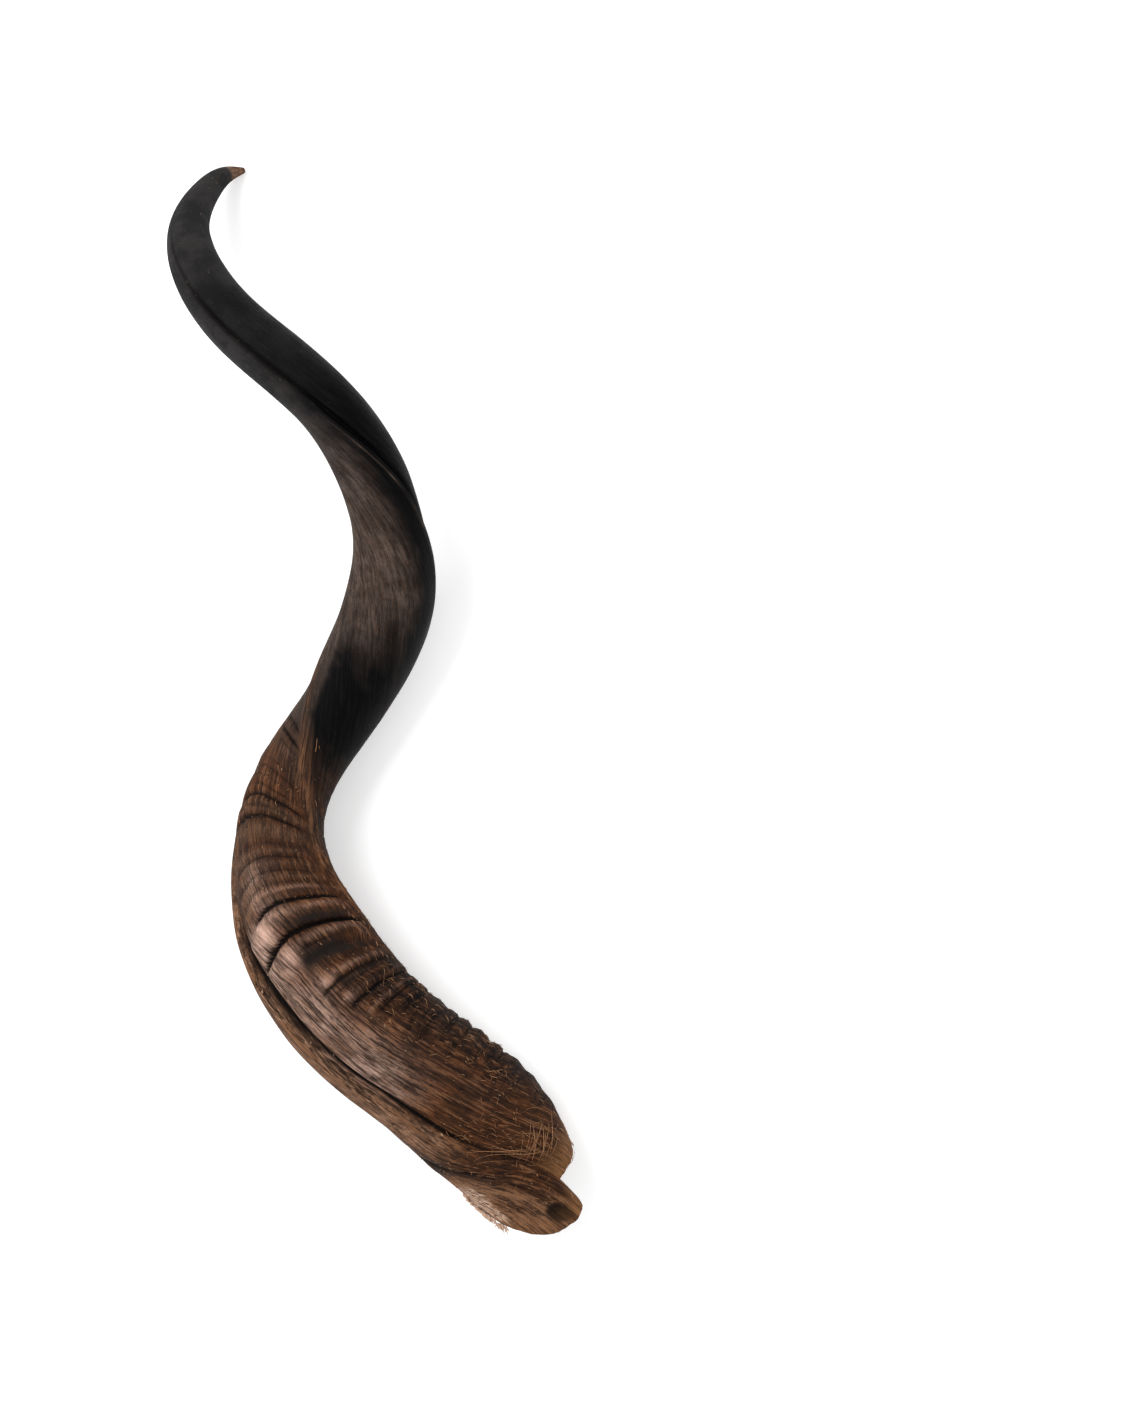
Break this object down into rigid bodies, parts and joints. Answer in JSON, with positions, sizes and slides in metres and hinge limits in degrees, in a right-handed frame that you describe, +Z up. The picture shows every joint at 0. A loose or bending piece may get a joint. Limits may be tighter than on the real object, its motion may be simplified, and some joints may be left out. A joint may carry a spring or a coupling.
{
  "type": "kudu horn",
  "caption": "Hollow spiral horn of a greater kudu with a keel, a crevice and growth rings, lying on its side.",
  "frame": {"origin": "on the surface that the horn lies on, under the middle of its box", "axes": "+Y from the mouth towards the tip, +Z up, +X to the right of someone who looks down with the tip away"},
  "size_m": [0.3136, 0.8173, 0.1449],
  "materials": {
    "horn_keratin": "dry fibrous horn, red-brown and ringed at the base, satin black above, amber at the rim and the tip"
  },
  "bodies": {
    "root": {"horn": "horn_keratin"}
  },
  "joints": []
}
